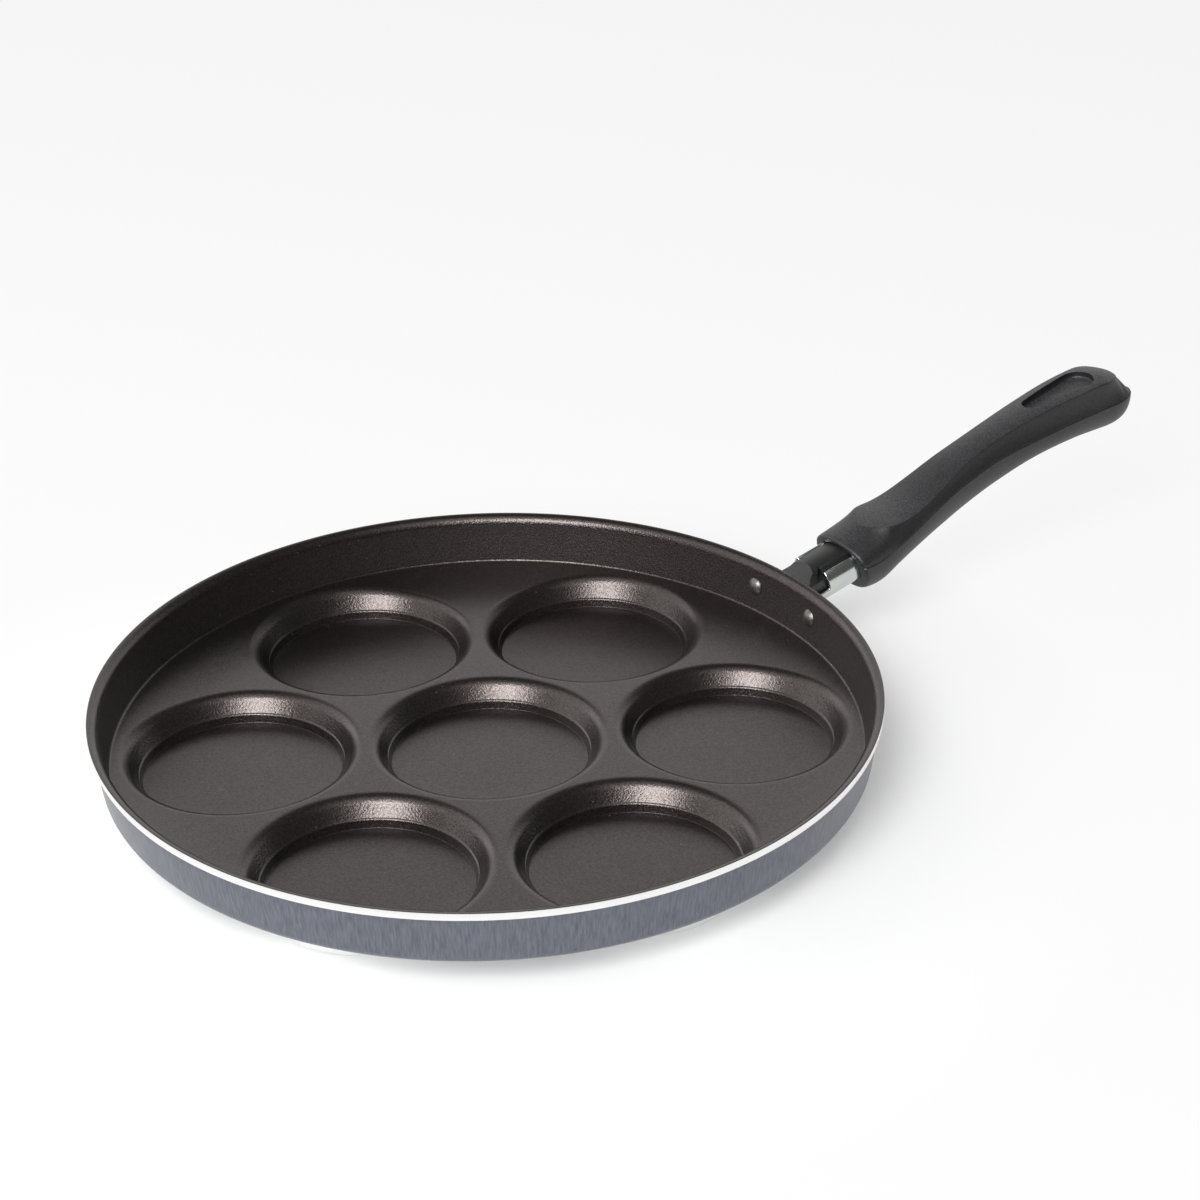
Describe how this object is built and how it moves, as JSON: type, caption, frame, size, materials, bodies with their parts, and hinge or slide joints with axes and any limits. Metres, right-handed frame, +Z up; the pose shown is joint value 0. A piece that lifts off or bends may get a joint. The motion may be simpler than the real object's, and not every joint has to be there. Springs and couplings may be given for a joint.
{
  "type": "pancake pan",
  "caption": "Round pressed aluminium pan with round pancake wells in a raised deck, a low flared wall, a riveted steel neck and a black moulded grip with a thumb rest.",
  "frame": {"origin": "on the pan's axis, at the underside of the middle well, where the pan stands on the table", "axes": "+X along the grip, away from the pan; +Z up; +Y to the left of someone who looks along +X"},
  "size_m": [0.4211, 0.26, 0.0726],
  "materials": {
    "coated_aluminium": "pressed sheet with a dark grey semi-gloss non-stick coating inside, a blue-grey satin outside and a bare cut edge",
    "rivet_aluminium": "dull grey rivet heads",
    "zinc_plated_steel": "bright zinc plate",
    "black_moulding": "black moulded resin with a fine grain"
  },
  "bodies": {
    "root": {"pan_body": "coated_aluminium", "rivet_left": "rivet_aluminium", "rivet_right": "rivet_aluminium", "handle_bracket": "zinc_plated_steel", "neck_insert": "black_moulding", "handle_grip": "black_moulding", "handle_screw": "zinc_plated_steel", "screw_washer": "zinc_plated_steel", "square_nut": "zinc_plated_steel"}
  },
  "joints": []
}
